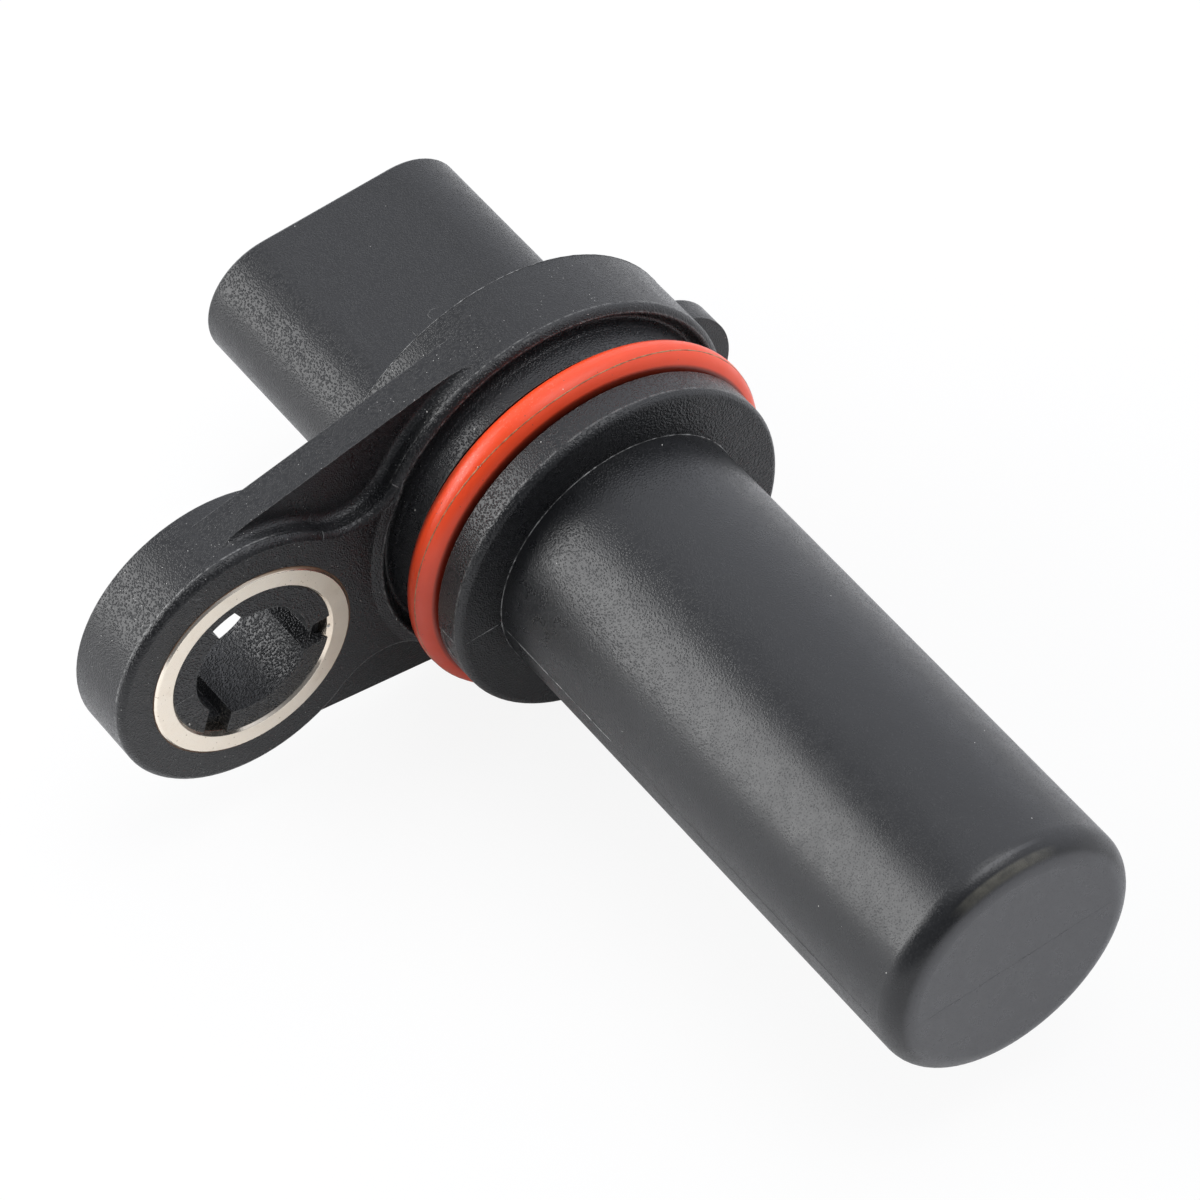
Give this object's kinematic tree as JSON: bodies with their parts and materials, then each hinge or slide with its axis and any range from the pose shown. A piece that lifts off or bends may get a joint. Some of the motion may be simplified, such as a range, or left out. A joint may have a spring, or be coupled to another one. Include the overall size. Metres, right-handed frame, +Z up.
{
  "type": "crankshaft position sensor",
  "caption": "Crankshaft position sensor: round closed probe, sealing ring behind a collar, flange with a bush-lined bolt ear, and a plug socket at the back.",
  "frame": {"origin": "on the probe axis, in the plane of the flange's bolting face", "axes": "+X along the probe axis towards the tip, the bolt ear towards -Y, +Z up"},
  "size_m": [0.0721, 0.0476, 0.0268],
  "materials": {
    "black_plastic": "grained charcoal black",
    "silicone": "semi-gloss orange-red",
    "bush_steel": "warm nickel-plated",
    "brass": "tinned satin",
    "resin": "dark cast resin",
    "carrier_plastic": "plain dark grey",
    "board": "green lacquer",
    "ceramic": "tan ceramic",
    "resistor_body": "plain black",
    "magnet_alloy": "plain grey",
    "soft_iron": "plain",
    "chip_body": "plain black",
    "lead_metal": "tinned"
  },
  "bodies": {
    "root": {"housing": "black_plastic", "probe_cup": "black_plastic", "sealing_ring": "silicone", "compression_limiter": "bush_steel", "bolt_retainer": "black_plastic", "terminal_left": "brass", "terminal_middle": "brass", "terminal_right": "brass", "resin_plug": "resin", "inner_carrier": "carrier_plastic", "circuit_board": "board", "capacitor_supply": "ceramic", "capacitor_signal": "ceramic", "resistor": "resistor_body", "magnet": "magnet_alloy", "pole_plate": "soft_iron", "hall_chip": "chip_body", "chip_lead_left": "lead_metal", "chip_lead_middle": "lead_metal", "chip_lead_right": "lead_metal"}
  },
  "joints": []
}
